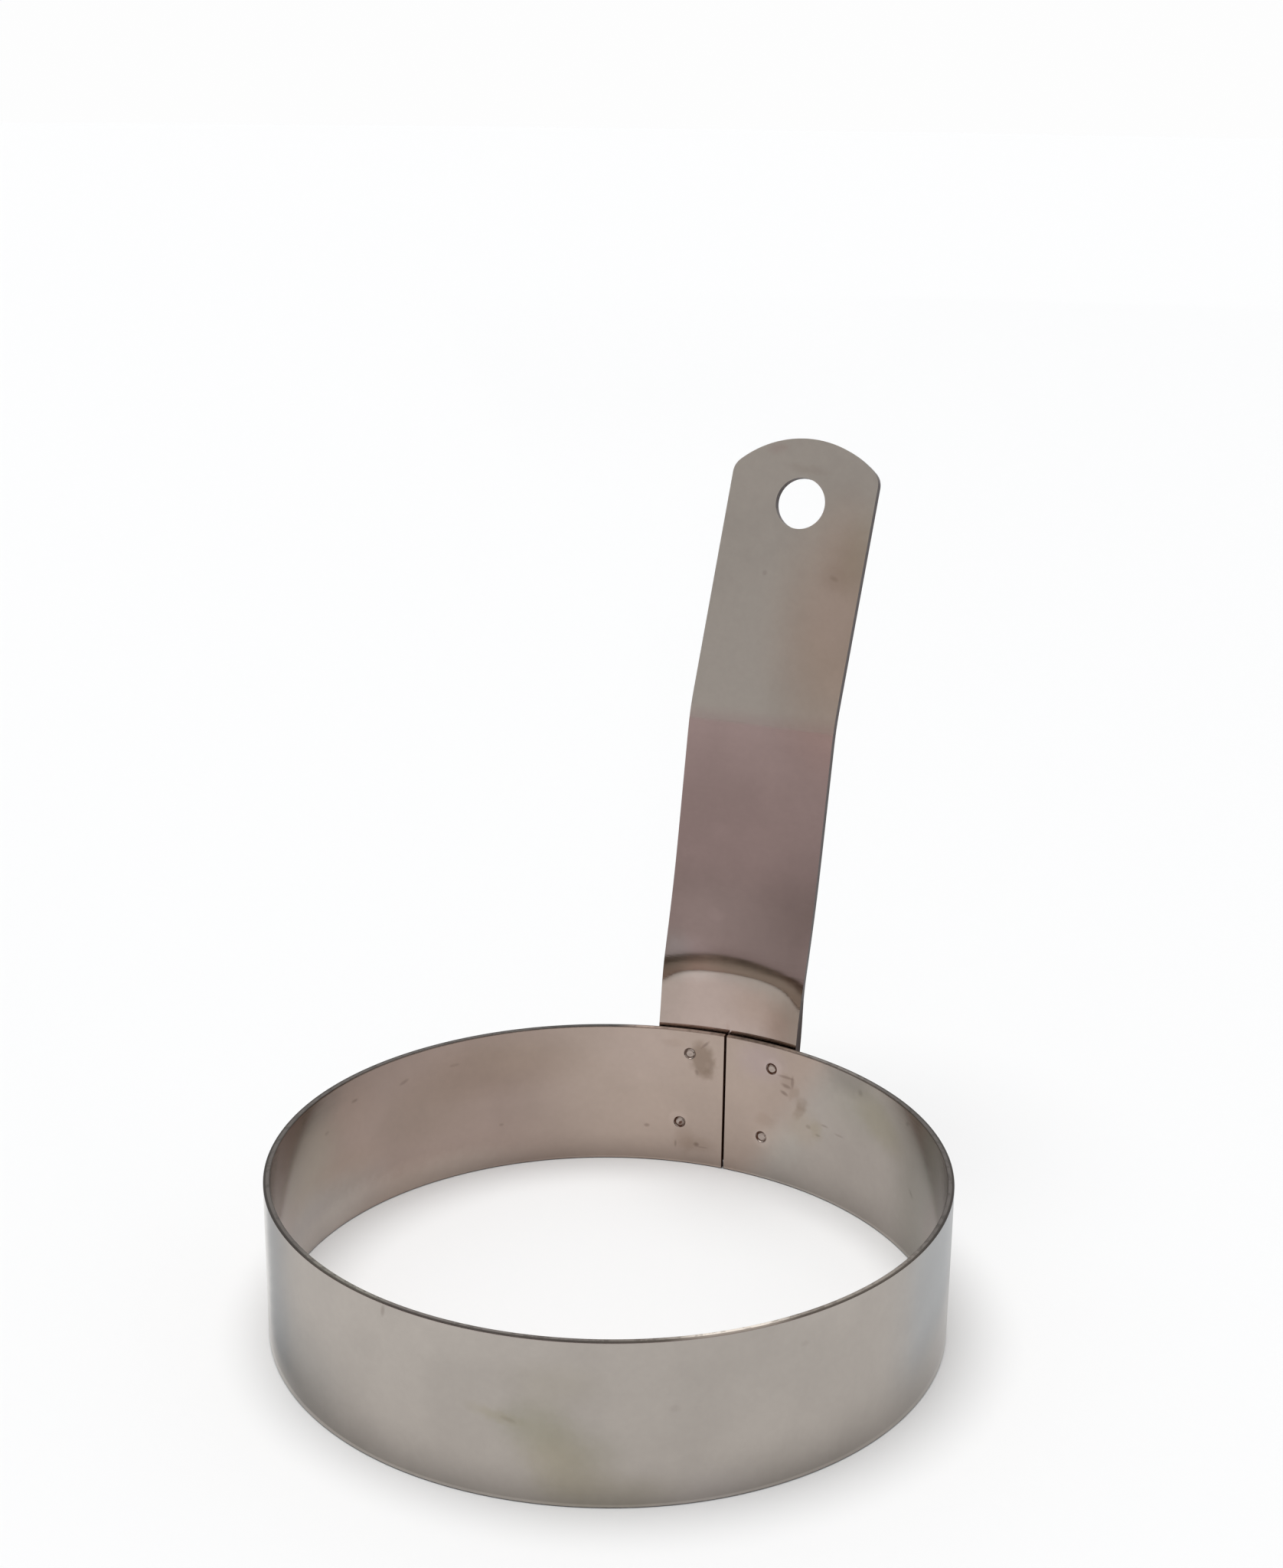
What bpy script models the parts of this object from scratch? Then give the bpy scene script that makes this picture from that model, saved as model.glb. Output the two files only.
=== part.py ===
"""Egg ring: a rolled steel band with a long flat handle spot-welded to its outside.

Metres, +Z up. The ring stands on z = 0 and the handle rises at the +Y side. The origin is
the middle of the footprint's box, so the ring's own axis lies a little towards -Y.
"""
import math

import bmesh
import bpy
from mathutils import Matrix, Vector

# Ring band
INNER_DIAMETER = 0.1016
WALL = 0.001
BAND_HEIGHT = 0.025
SEAM_GAP = 0.00035
SEAM_OFFSET = -0.0003
RIM_CHAMFER = 0.00012
BAND_STEPS = 128

# Handle strip
HANDLE_WIDTH = 0.025
HANDLE_THICKNESS = 0.0015
HANDLE_RISE = 0.1024
TIP_ARCH = 0.00535
TIP_SHOULDER = 0.003
TIP_SHIFT = 0.0004
TAB_FOOT_HEIGHT = 0.001
TAB_CORNER = 0.0025
EDGE_CHAMFER = 0.00015
HOLE_DIAMETER = 0.0084
HOLE_TO_TIP = 0.0106
SIDE_TILT = math.radians(3.3)

# Bends of the handle, measured upward from the rim
CREASE_HEIGHT = 0.012
CREASE_LENGTH = 0.0035
LOWER_LEAN = math.radians(5.0)
MIDDLE_BEND_HEIGHT = 0.056
MIDDLE_BEND_LENGTH = 0.0083
UPPER_LEAN = math.radians(17.0)

# Spot welds
WELD_DIAMETER = 0.0016
WELD_CLEARANCE = 0.00025
WELD_DEPTH_IN_TAB = 0.0009
CRATER_DEPTH = 0.0002
CRATER_LIP = 0.00022
CRATER_WALL = 0.00018
UPPER_WELD_BELOW_RIM = 0.0042
LOWER_WELD_ABOVE_FOOT = 0.0067
WELD_INSET = 0.00485
WELD_SHIFT = 0.00015
WELD_COLUMN_LEAN = math.radians(7.1)

# Gap between pieces that touch on the real object
FIT_GAP = 0.0003

# Base colour and roughness of the steel
BAND_COLOR, BAND_ROUGHNESS = (0.44, 0.39, 0.35), 0.28
HANDLE_COLOR, HANDLE_ROUGHNESS = (0.42, 0.37, 0.34), 0.25
WELD_COLOR, WELD_ROUGHNESS = (0.20, 0.17, 0.15), 0.5

# How finely round shapes are divided, and which edges stay sharp or are chamfered
TAB_COLUMNS = 12
BEND_ROWS = 5
FLATTENING_ROWS = 6
TIP_POINTS = 17
CORNER_POINTS = 5
HOLE_SIDES = 40
WELD_SIDES = 20
SHARP_ANGLE = math.radians(30)
CHAMFER_ANGLE = math.radians(60)
SCORE_TOLERANCE = 1e-7

# Sizes that follow from the ones above
INNER_RADIUS = INNER_DIAMETER / 2
OUTER_RADIUS = INNER_RADIUS + WALL
TAB_RADIUS = OUTER_RADIUS + FIT_GAP
HALF_WIDTH = HANDLE_WIDTH / 2
TIP_RADIUS = (HALF_WIDTH ** 2 + TIP_ARCH ** 2) / (2 * TIP_ARCH)
TAB_DEPTH = BAND_HEIGHT - TAB_FOOT_HEIGHT
TAB_SAGITTA = TAB_RADIUS * (1 - math.cos(HALF_WIDTH / TAB_RADIUS))
CREASE_START = CREASE_HEIGHT - CREASE_LENGTH / 2
CREASE_END = CREASE_HEIGHT + CREASE_LENGTH / 2
MIDDLE_START = MIDDLE_BEND_HEIGHT - MIDDLE_BEND_LENGTH / 2


def make_material(name, color, roughness):
    material = bpy.data.materials.new(name)
    material.use_nodes = True
    shader = material.node_tree.nodes["Principled BSDF"]
    shader.inputs["Base Color"].default_value = (*color, 1.0)
    shader.inputs["Metallic"].default_value = 1.0
    shader.inputs["Roughness"].default_value = roughness
    return material


def make_object(name, bm, material, parent):
    """Turn a bmesh into a smooth-shaded object with sharp edges kept."""
    bmesh.ops.recalc_face_normals(bm, faces=bm.faces)
    mesh = bpy.data.meshes.new(name)
    bm.to_mesh(mesh)
    bm.free()
    mesh.shade_smooth()
    mesh.set_sharp_from_angle(angle=SHARP_ANGLE)
    mesh.materials.append(material)
    piece = bpy.data.objects.new(name, mesh)
    piece.parent = parent
    bpy.context.scene.collection.objects.link(piece)
    return piece


def cut(piece, cutter):
    """Subtract a hidden cutter from a piece."""
    cutter.hide_render = True
    cutter.display_type = "WIRE"
    boolean = piece.modifiers.new(cutter.name, "BOOLEAN")
    boolean.operation = "DIFFERENCE"
    boolean.solver = "EXACT"
    boolean.object = cutter


def arc_points(centre, radius, start, end, count):
    """Points on an arc in the flat pattern; angles run from +X towards +Y."""
    points = []
    for i in range(count):
        angle = start + (end - start) * i / (count - 1)
        points.append((centre[0] + radius * math.cos(angle), centre[1] + radius * math.sin(angle)))
    return points


def profile(height):
    """The strip's outward and upward run from the rim, for a length along its profile."""
    stretches = (
        (CREASE_START, 0.0),
        (CREASE_LENGTH, LOWER_LEAN),
        (MIDDLE_START - CREASE_END, 0.0),
        (MIDDLE_BEND_LENGTH, UPPER_LEAN - LOWER_LEAN),
    )
    out, up, lean = 0.0, 0.0, 0.0
    left = height
    for length, turn in stretches:
        step = min(left, length)
        if turn:
            radius = length / turn
            new_lean = lean + step / radius
            out += radius * (math.cos(lean) - math.cos(new_lean))
            up += radius * (math.sin(new_lean) - math.sin(lean))
            lean = new_lean
        else:
            out += step * math.sin(lean)
            up += step * math.cos(lean)
        left -= step
        if left <= 0:
            return out, up
    return out + left * math.sin(lean), up + left * math.cos(lean)


def roundness(height):
    """1 where the tab follows the band, falling to 0 where the strip is flat."""
    share = min(max(height / CREASE_END, 0.0), 1.0)
    return 1 - share * share * (3 - 2 * share)


def roll(x, height):
    """Place a point of the flat pattern on the handle's inner face, from the ring's axis."""
    out, up = profile(height)
    k = roundness(height)
    angle = x / TAB_RADIUS
    across = k * TAB_RADIUS * math.sin(angle) + (1 - k) * x
    back = k * TAB_RADIUS * math.cos(angle) + (1 - k) * (TAB_RADIUS - TAB_SAGITTA)
    return Vector((across, back + out, BAND_HEIGHT + up))


def tilt(x, along):
    """Turn a point of the upright strip by the handle's sideways tilt."""
    cos_tilt, sin_tilt = math.cos(SIDE_TILT), math.sin(SIDE_TILT)
    return x * cos_tilt + along * sin_tilt, along * cos_tilt - x * sin_tilt


def strip_outline():
    """Flat pattern of the handle: rounded foot corners, straight sides and an arched tip."""
    tip_centre = HANDLE_RISE - TIP_RADIUS
    inner_x = HALF_WIDTH - TIP_SHOULDER
    reach = TIP_RADIUS - TIP_SHOULDER
    right_rise = math.sqrt(reach ** 2 - (inner_x - TIP_SHIFT) ** 2)
    left_rise = math.sqrt(reach ** 2 - (inner_x + TIP_SHIFT) ** 2)
    right_blend = math.atan2(right_rise, inner_x - TIP_SHIFT)
    left_blend = math.atan2(left_rise, -inner_x - TIP_SHIFT)
    foot_y = TAB_CORNER - TAB_DEPTH
    foot_x = HALF_WIDTH - TAB_CORNER
    quarter = math.pi / 2
    outline = arc_points((foot_x, foot_y), TAB_CORNER, -quarter, 0, CORNER_POINTS)
    right, left = (inner_x, tip_centre + right_rise), (-inner_x, tip_centre + left_rise)
    outline += arc_points(right, TIP_SHOULDER, 0, right_blend, CORNER_POINTS)[:-1]
    outline += arc_points((TIP_SHIFT, tip_centre), TIP_RADIUS, right_blend, left_blend, TIP_POINTS)
    outline += arc_points(left, TIP_SHOULDER, left_blend, math.pi, CORNER_POINTS)[1:]
    outline += arc_points((-foot_x, foot_y), TAB_CORNER, math.pi, math.pi + quarter, CORNER_POINTS)
    return outline


def bend_heights():
    """Heights of the lines across the strip where its profile changes direction."""
    heights = [CREASE_START * i / FLATTENING_ROWS for i in range(FLATTENING_ROWS)]
    for start, length in ((CREASE_START, CREASE_LENGTH), (MIDDLE_START, MIDDLE_BEND_LENGTH)):
        heights += [start + length * i / BEND_ROWS for i in range(BEND_ROWS + 1)]
    return heights


def score(bm, point, normal):
    """Split the flat pattern along a line."""
    geometry = bm.verts[:] + bm.edges[:] + bm.faces[:]
    bmesh.ops.bisect_plane(bm, geom=geometry, plane_co=point, plane_no=normal, dist=SCORE_TOLERANCE)


def tip_reach():
    """How far the handle's back goes from the ring's axis."""
    top = tilt(TIP_SHIFT, HANDLE_RISE - TIP_RADIUS)[1] + TIP_RADIUS
    return roll(0, top).y + HANDLE_THICKNESS * math.cos(UPPER_LEAN)


def weld_places():
    """Each spot weld's name, its distance along the band from the middle and its height."""
    top = BAND_HEIGHT - UPPER_WELD_BELOW_RIM
    bottom = TAB_FOOT_HEIGHT + LOWER_WELD_ABOVE_FOOT
    for row, z in (("upper", top), ("lower", bottom)):
        for side, sign in (("left", -1), ("right", 1)):
            drift = (z - (top + bottom) / 2) * math.tan(WELD_COLUMN_LEAN)
            yield f"spot_weld_{row}_{side}", WELD_SHIFT + sign * (HALF_WIDTH - WELD_INSET) + drift, z


def radial(arc, z):
    """A frame on the ring's axis at height z whose local Z runs outward to a point of the band."""
    angle = arc / OUTER_RADIUS
    return Matrix.Translation((0, 0, z)) @ Matrix.Rotation(-angle, 4, "Z") @ Matrix.Rotation(-math.pi / 2, 4, "X")


def turned(profile_points, sides):
    """Spin a profile of (radius, height) points, both ends on the axis, around local Z."""
    bm = bmesh.new()
    rings = []
    for radius, z in profile_points:
        if radius == 0:
            rings.append([bm.verts.new((0, 0, z))])
            continue
        angles = (2 * math.pi * i / sides for i in range(sides))
        rings.append([bm.verts.new((radius * math.cos(a), radius * math.sin(a), z)) for a in angles])
    for low, high in zip(rings, rings[1:]):
        for i in range(sides):
            j = (i + 1) % sides
            corners = [low[i % len(low)], low[j % len(low)], high[j % len(high)], high[i % len(high)]]
            bm.faces.new(dict.fromkeys(corners))
    return bm


def make_band(material, parent):
    """A chamfered strip section spun round the axis, open at the seam."""
    low, high = 0.0, BAND_HEIGHT
    inner, outer, c = INNER_RADIUS, OUTER_RADIUS, RIM_CHAMFER
    section = [
        (inner + c, low), (outer - c, low), (outer, low + c), (outer, high - c),
        (outer - c, high), (inner + c, high), (inner, high - c), (inner, low + c),
    ]
    seam = math.pi / 2 - SEAM_OFFSET / OUTER_RADIUS
    start = seam + SEAM_GAP / 2 / OUTER_RADIUS
    bm = bmesh.new()
    verts = [bm.verts.new((r * math.cos(start), r * math.sin(start), z)) for r, z in section]
    face = bm.faces.new(verts)
    bmesh.ops.spin(
        bm, geom=[face], cent=(0, 0, 0), axis=(0, 0, 1),
        angle=2 * math.pi - SEAM_GAP / OUTER_RADIUS, steps=BAND_STEPS, use_duplicate=False,
    )
    return make_object("ring_band", bm, material, parent)


def make_handle(material, parent):
    """The flat pattern, scored along its bends, rolled into shape and given its thickness."""
    bm = bmesh.new()
    bm.faces.new([bm.verts.new((*tilt(x, along), 0)) for x, along in strip_outline()])
    reach = HALF_WIDTH + HANDLE_RISE * math.sin(SIDE_TILT)
    column = HANDLE_WIDTH / TAB_COLUMNS
    for i in range(math.ceil(-reach / column), math.floor(reach / column) + 1):
        score(bm, (i * column, 0, 0), (1, 0, 0))
    for height in bend_heights():
        score(bm, (0, height, 0), (0, 1, 0))
    for vert in bm.verts:
        vert.co = roll(vert.co.x, vert.co.y)
    handle = make_object("handle", bm, material, parent)
    shell = handle.modifiers.new("thickness", "SOLIDIFY")
    shell.thickness = HANDLE_THICKNESS
    shell.offset = 1.0
    shell.use_even_offset = True
    bevel = handle.modifiers.new("edges", "BEVEL")
    bevel.width = EDGE_CHAMFER
    bevel.segments = 1
    bevel.limit_method = "ANGLE"
    bevel.angle_limit = CHAMFER_ANGLE
    return handle


def make_hole_cutter(parent):
    """A round punch through the flat upper stretch, square to it."""
    x, height = tilt(0, HANDLE_RISE - HOLE_TO_TIP)
    half = 2 * HANDLE_THICKNESS
    bm = turned([(0, -half), (HOLE_DIAMETER / 2, -half), (HOLE_DIAMETER / 2, half), (0, half)], HOLE_SIDES)
    cutter = make_object("hanging_hole_cutter", bm, None, parent)
    cutter.location = roll(x, height)
    cutter.rotation_euler = (-math.pi / 2 - UPPER_LEAN, 0, 0)
    return cutter


def make_weld(name, arc, z, material, parent):
    """A nugget through the band into the tab, with a small crater on the inner wall."""
    radius = WELD_DIAMETER / 2
    mouth = radius - CRATER_LIP
    floor = INNER_RADIUS + CRATER_DEPTH
    top = TAB_RADIUS + WELD_DEPTH_IN_TAB
    bm = turned([
        (0, floor), (mouth - CRATER_WALL, floor), (mouth, INNER_RADIUS),
        (radius, INNER_RADIUS), (radius, top), (0, top),
    ], WELD_SIDES)
    weld = make_object(name, bm, material, parent)
    weld.matrix_local = radial(arc, z)
    return weld


def make_weld_cutter(name, arc, z, parent):
    radius = WELD_DIAMETER / 2 + WELD_CLEARANCE
    low = INNER_RADIUS - WALL
    high = TAB_RADIUS + WELD_DEPTH_IN_TAB + WELD_CLEARANCE
    bm = turned([(0, low), (radius, low), (radius, high), (0, high)], WELD_SIDES)
    cutter = make_object(name + "_cutter", bm, None, parent)
    cutter.matrix_local = radial(arc, z)
    return cutter


def build():
    for old in list(bpy.data.objects):
        bpy.data.objects.remove(old, do_unlink=True)
    ring_axis = bpy.data.objects.new("ring_axis", None)
    ring_axis.location = (0, (OUTER_RADIUS - tip_reach()) / 2, 0)
    bpy.context.scene.collection.objects.link(ring_axis)
    band = make_band(make_material("band_steel", BAND_COLOR, BAND_ROUGHNESS), ring_axis)
    handle = make_handle(make_material("handle_steel", HANDLE_COLOR, HANDLE_ROUGHNESS), ring_axis)
    cut(handle, make_hole_cutter(ring_axis))
    weld_steel = make_material("weld_steel", WELD_COLOR, WELD_ROUGHNESS)
    for name, arc, z in weld_places():
        make_weld(name, arc, z, weld_steel, ring_axis)
        cutter = make_weld_cutter(name, arc, z, ring_axis)
        cut(band, cutter)
        cut(handle, cutter)


build()
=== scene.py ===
import math

import bmesh
import bpy
import numpy as np
from mathutils import Matrix, Vector, noise


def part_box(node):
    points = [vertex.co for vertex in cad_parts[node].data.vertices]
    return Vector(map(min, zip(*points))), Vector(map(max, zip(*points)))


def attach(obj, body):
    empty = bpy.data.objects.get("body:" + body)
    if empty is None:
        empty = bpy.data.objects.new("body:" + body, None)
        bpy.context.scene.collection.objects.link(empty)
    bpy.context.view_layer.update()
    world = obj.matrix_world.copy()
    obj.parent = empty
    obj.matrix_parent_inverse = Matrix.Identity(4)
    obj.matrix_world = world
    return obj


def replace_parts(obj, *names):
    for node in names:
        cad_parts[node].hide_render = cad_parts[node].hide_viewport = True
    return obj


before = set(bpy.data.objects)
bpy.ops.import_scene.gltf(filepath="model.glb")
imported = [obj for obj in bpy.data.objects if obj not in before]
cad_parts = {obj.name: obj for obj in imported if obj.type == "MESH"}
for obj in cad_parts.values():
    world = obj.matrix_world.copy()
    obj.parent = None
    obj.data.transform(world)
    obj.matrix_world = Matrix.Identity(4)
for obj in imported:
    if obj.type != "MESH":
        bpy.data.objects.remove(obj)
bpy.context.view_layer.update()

# Looks of the egg ring: a rolled steel band, its long handle and their four spot welds.
# Metres, +Z up, in the frame of the construction model: the handle rises at the +Y side, and
# the photograph was taken from the -Y side, a little to the right.

MM = 0.001

# Sizes read from the frame
band_low, band_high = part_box("ring_band")
OUTER_RADIUS = (band_high.x - band_low.x) / 2
BAND_HEIGHT = band_high.z
AXIS = Vector(((band_low.x + band_high.x) / 2, band_low.y + OUTER_RADIUS, 0))

# Ring band
WALL = 1.0 * MM
INNER_RADIUS = OUTER_RADIUS - WALL
SEAM_GAP = 0.35 * MM
SEAM_OFFSET = -0.3 * MM
BAND_EDGE = 0.16 * MM
SEAM_EDGE = 0.05 * MM
BAND_COLUMNS = 480
BAND_ROWS = 14
BAND_CORNER_STEPS = 4
BORE_SIDES = 40
BAND_SHARP = 35
BAND_WAVE = 0.035 * MM
BAND_WAVE_LENGTH = 24 * MM
STRAIGHT_END = 3.0 * MM
BAND_SHEARED_BELOW = 0.93

# Arcs are counted once round from here, close to the ring's left side in the photograph
ARC_START = -106 * MM

# Handle strip
HANDLE_WIDTH = 25 * MM
HALF_WIDTH = HANDLE_WIDTH / 2
HANDLE_THICKNESS = 1.5 * MM
HANDLE_RISE = 102.38 * MM
TIP_ARCH = 5.35 * MM
TIP_SHOULDER = 3.0 * MM
TIP_SHIFT = 0.4 * MM
TIP_RADIUS = (HALF_WIDTH ** 2 + TIP_ARCH ** 2) / (2 * TIP_ARCH)
TAB_FOOT_HEIGHT = 1 * MM
TAB_CORNER = 2.5 * MM
TAB_RADIUS = OUTER_RADIUS + 0.3 * MM
TAB_SAGITTA = TAB_RADIUS * (1 - math.cos(HALF_WIDTH / TAB_RADIUS))
HANDLE_EDGE = 0.18 * MM
EDGE_SEGMENTS = 4
EDGE_ANGLE = math.radians(60)
CORNER_POINTS = 10
TIP_POINTS = 40
HANDLE_COLUMN = 1.0 * MM
HOLE_SIDES = 72
DIMPLE_SIDES = 32
HANDLE_SHEARED_BELOW = 0.88
FLAT_ANGLE = math.radians(6)
BENT_ANGLE = math.radians(3)
LINE_SNAP = 0.04 * MM
HANDLE_WAVE = 0.02 * MM
HANDLE_WAVE_LENGTH = 18 * MM
HOLE_RADIUS = 4.2 * MM
HOLE_TO_TIP = 10.6 * MM
SIDE_TILT = math.radians(3.3)

# Lean of the handle, in degrees, at heights in mm along the strip above the rim. Between two
# entries it changes smoothly, so each pair with unlike leans is a bend.
LEANS = ((-26, 0), (7.48, 0), (17.2, 8.37), (38, 3.0), (51.85, 3.0), (60.15, 17), (112, 17))
FLAT_FROM = 12.4 * MM
CREASE_ARCH = 3.34 * MM
CREASE_SKEW = 0.94 * MM
ARCH_FADE_FROM = 11 * MM
ARCH_FADE_LENGTH = 50 * MM
PROFILE_STEPS = 2761

# Spot welds
WELD_NODES = (
    "spot_weld_upper_left", "spot_weld_upper_right", "spot_weld_lower_left", "spot_weld_lower_right",
)
BORE_RADIUS = 1.05 * MM
WELD_DEPTH = WALL + 1.2 * MM
POCKET_DEPTH = WELD_DEPTH + 0.25 * MM
BACK_DIMPLE_RADIUS = 1.4 * MM
BACK_DIMPLE_DEPTH = 0.09 * MM
WELD_SIDES = 48
WELD_SHARP = 50

# Profile of a weld as radii and depths in mm, its burnt groove's radius, unevenness and half
# width, and the radius of its burnt middle
WELD_PROFILE = (
    (0.0, 0.02), (0.15, 0.02), (0.3, 0.01), (0.45, 0.0), (0.58, 0.0), (0.66, 0.04), (0.74, 0.14),
    (0.82, 0.18), (0.90, 0.13), (0.96, 0.04), (1.0, 0.0), (1.035, 0.02),
    (1.035, 0.55), (0.8, 0.7), (0.8, 2.2), (0.0, 2.2),
)
GROOVE = 0.82
GROOVE_UNEVEN = 0.12
GROOVE_HALF = 0.17
BURNT_MIDDLE = 0.5

# Camera, fitted to the photograph, from the ring's axis; elevation and roll are in radians
CAMERA_TURN = math.radians(22.25)
CAMERA_ELEVATION = 0.305907521
CAMERA_DISTANCE = 356.66 * MM
CAMERA_SIDE = 4.0734 * MM
CAMERA_DOWN = -80.8426 * MM
CAMERA_ROLL = 0.0131198
CAMERA_FOCAL_PIXELS = 3016.815
IMAGE_HEIGHT = 2048
SENSOR = 36.0

# Studio light
WORLD_LIGHT = 0.42
BACKDROP = 0.985
SUN_STRENGTH = 2.15
SUN_ANGLE = math.radians(45)
SUN_TURN = (math.radians(1), math.radians(-4), 0)
WORLD_COLOUR = (0.98, 0.99, 1.0)
FLOOR_TONE = 0.9
FLOOR_ROUGHNESS = 0.9
FLOOR_RADIUS = 6.0
FLOOR_SIDES = 96
FLOOR_DROP = 0.05 * MM


# Mesh helpers

def smooth_object(name, bm):
    """Turn a bmesh into an object whose faces are shaded smooth."""
    bmesh.ops.recalc_face_normals(bm, faces=bm.faces)
    for face in bm.faces:
        face.smooth = True
    mesh = bpy.data.meshes.new(name)
    bm.to_mesh(mesh)
    bm.free()
    piece = bpy.data.objects.new(name, mesh)
    bpy.context.scene.collection.objects.link(piece)
    return piece


def finished(name, bm, modifiers, sharp_angle=None):
    """Turn a bmesh into a smooth-shaded object with its modifiers applied."""
    rough = smooth_object(name + "_rough", bm)
    for kind, settings in modifiers:
        modifier = rough.modifiers.new(kind.lower(), kind)
        for key, value in settings.items():
            setattr(modifier, key, value)
    bpy.context.view_layer.update()
    evaluated = rough.evaluated_get(bpy.context.evaluated_depsgraph_get())
    final = bpy.data.meshes.new_from_object(evaluated)
    bpy.data.objects.remove(rough)
    final.name = name
    if sharp_angle:
        final.set_sharp_from_angle(angle=math.radians(sharp_angle))
    piece = bpy.data.objects.new(name, final)
    bpy.context.scene.collection.objects.link(piece)
    return piece


def cutter(bm):
    """A hidden object for a Boolean modifier; it is removed after use."""
    piece = smooth_object("cutter", bm)
    piece.hide_render = True
    return piece


def drop(*cutters):
    for piece in cutters:
        bpy.data.objects.remove(piece)


def subtract(piece):
    return ("BOOLEAN", {"operation": "DIFFERENCE", "solver": "EXACT", "object": piece})


def vertex_positions(mesh):
    points = np.zeros(len(mesh.vertices) * 3)
    mesh.vertices.foreach_get("co", points)
    return points.reshape(-1, 3)


def store_vectors(mesh, name, vectors, domain="POINT"):
    attribute = mesh.attributes.new(name, "FLOAT_VECTOR", domain)
    attribute.data.foreach_set("vector", np.asarray(vectors, np.float32).ravel())


def store_numbers(mesh, name, values, domain="POINT"):
    attribute = mesh.attributes.new(name, "FLOAT", domain)
    attribute.data.foreach_set("value", np.asarray(values, np.float32))


def smoothstep(share):
    share = np.clip(share, 0.0, 1.0)
    return share * share * (3 - 2 * share)


def add_turned(bm, profile, sides, matrix):
    """Spin a profile of (radius, height) points, both ends on the axis, around local Z."""
    rings = []
    for radius, z in profile:
        if radius == 0:
            rings.append([bm.verts.new(matrix @ Vector((0, 0, z)))])
            continue
        angles = [2 * math.pi * i / sides for i in range(sides)]
        rings.append([
            bm.verts.new(matrix @ Vector((radius * math.cos(a), radius * math.sin(a), z))) for a in angles
        ])
    for low, high in zip(rings, rings[1:]):
        for i in range(sides):
            j = (i + 1) % sides
            corners = [low[i % len(low)], low[j % len(low)], high[j % len(high)], high[i % len(high)]]
            bm.faces.new(dict.fromkeys(corners))


def radial(arc, z, radius=0.0):
    """A frame at a point of the band whose local Z runs outward; arcs start at the handle."""
    angle = -arc / OUTER_RADIUS
    turn = Matrix.Rotation(angle, 4, "Z") @ Matrix.Rotation(-math.pi / 2, 4, "X")
    return Matrix.Translation(AXIS + Vector((0, 0, z))) @ turn @ Matrix.Translation((0, 0, radius))


def weld_place(node):
    """A weld's arc from the handle's middle and its height."""
    low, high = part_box(node)
    middle = (low + high) / 2 - AXIS
    return math.atan2(middle.x, middle.y) * OUTER_RADIUS, middle.z


# The band

def rounded_section(width, height, radius, corner_steps, rows):
    """A sheet's section as (depth, height) points, with rounded corners and close rows beside them."""
    loop = []
    corners = (
        (radius, radius, math.pi, 1.5 * math.pi),
        (width - radius, radius, 1.5 * math.pi, 2 * math.pi),
        (width - radius, height - radius, 0, 0.5 * math.pi),
        (radius, height - radius, 0.5 * math.pi, math.pi),
    )
    for index, (depth, z, start, end) in enumerate(corners):
        for i in range(corner_steps + 1):
            angle = start + (end - start) * i / corner_steps
            loop.append((depth + radius * math.cos(angle), z + radius * math.sin(angle)))
        if index in (1, 3):
            wall_depth = width if index == 1 else 0.0
            low, high = 2 * radius, height - 2 * radius
            heights = [low + (high - low) * i / rows for i in range(rows + 1)]
            if index == 3:
                heights.reverse()
            loop += [(wall_depth, z) for z in heights]
    return loop


def band_radius(arc, depth, height):
    """Radius of a point of the sheet, slightly wavy and straight for its last stretch at the seam."""
    place = Vector((math.sin(arc / OUTER_RADIUS), math.cos(arc / OUTER_RADIUS), 0)) * OUTER_RADIUS
    place.z = height
    wave = BAND_WAVE * (noise.noise(place / BAND_WAVE_LENGTH) - 1)
    from_seam = abs(arc - SEAM_OFFSET)
    straight = max(STRAIGHT_END - from_seam, 0.0) ** 2 / (2 * OUTER_RADIUS)
    return INNER_RADIUS + depth + wave + straight


def band_columns():
    """Arcs of the sheet's sections, and how far each is drawn in to blunt the edges at the seam."""
    start = SEAM_OFFSET + SEAM_GAP / 2
    length = 2 * math.pi * OUTER_RADIUS - SEAM_GAP
    ends = [(0.0, SEAM_EDGE), (SEAM_EDGE, 0.0)]
    columns = [(start + offset, inset) for offset, inset in ends]
    columns += [(start + length * i / BAND_COLUMNS, 0.0) for i in range(1, BAND_COLUMNS)]
    columns += [(start + length - offset, inset) for offset, inset in reversed(ends)]
    return columns


def band_sheet():
    """The rolled sheet as one closed shell, open at its seam."""
    section = rounded_section(WALL, BAND_HEIGHT, BAND_EDGE, BAND_CORNER_STEPS, BAND_ROWS)
    bm = bmesh.new()
    grid = []
    for arc, inset in band_columns():
        ring = []
        for depth, height in section:
            depth = min(max(depth, inset), WALL - inset)
            height = min(max(height, inset), BAND_HEIGHT - inset)
            radius = band_radius(arc, depth, height)
            angle = arc / OUTER_RADIUS
            place = Vector((radius * math.sin(angle), radius * math.cos(angle), height))
            ring.append(bm.verts.new(AXIS + place))
        grid.append(ring)
    count = len(section)
    for left, right in zip(grid, grid[1:]):
        for i in range(count):
            j = (i + 1) % count
            bm.faces.new((left[i], left[j], right[j], right[i]))
    bm.faces.new(grid[0])
    bm.faces.new(grid[-1])
    return bm


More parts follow.
